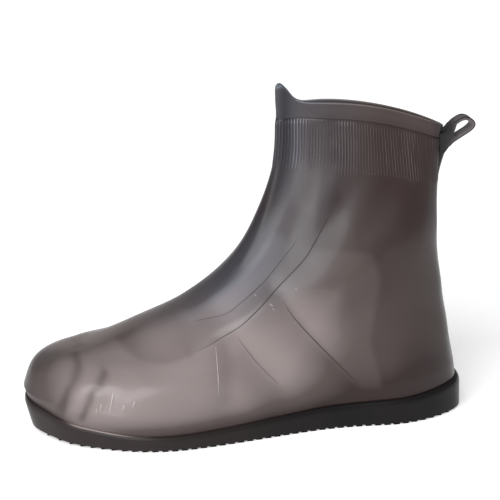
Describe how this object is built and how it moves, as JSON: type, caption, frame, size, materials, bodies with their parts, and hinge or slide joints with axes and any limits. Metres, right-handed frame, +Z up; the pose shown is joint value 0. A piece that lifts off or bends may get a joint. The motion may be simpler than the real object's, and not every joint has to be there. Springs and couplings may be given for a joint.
{
  "type": "shoe cover",
  "caption": "Slip-on rain shoe cover for a left foot: thin smoky rubber boot with treaded sole, ribbed neck, smooth rim band and a pull loop at the back.",
  "frame": {"origin": "on the ground, half way along the sole and on its long axis, on the flat face of a tread bar", "axes": "+X from the middle of the sole to the heel, -X to the toe, -Y to the outer side of the left foot, +Z up"},
  "size_m": [0.3056, 0.1209, 0.2269],
  "materials": {
    "outsole": "smooth dark grey brown moulded rubber",
    "upper_film": "glossy smoky translucent film",
    "cuff_film": "fine ribs in smoky translucent film",
    "rim_band": "smooth thicker hem",
    "pull_loop": "dark moulded strap"
  },
  "bodies": {
    "root": {"outsole": "outsole", "upper_shell": "upper_film", "ribbed_cuff": "cuff_film", "rim_band": "rim_band", "pull_loop": "pull_loop"}
  },
  "joints": []
}
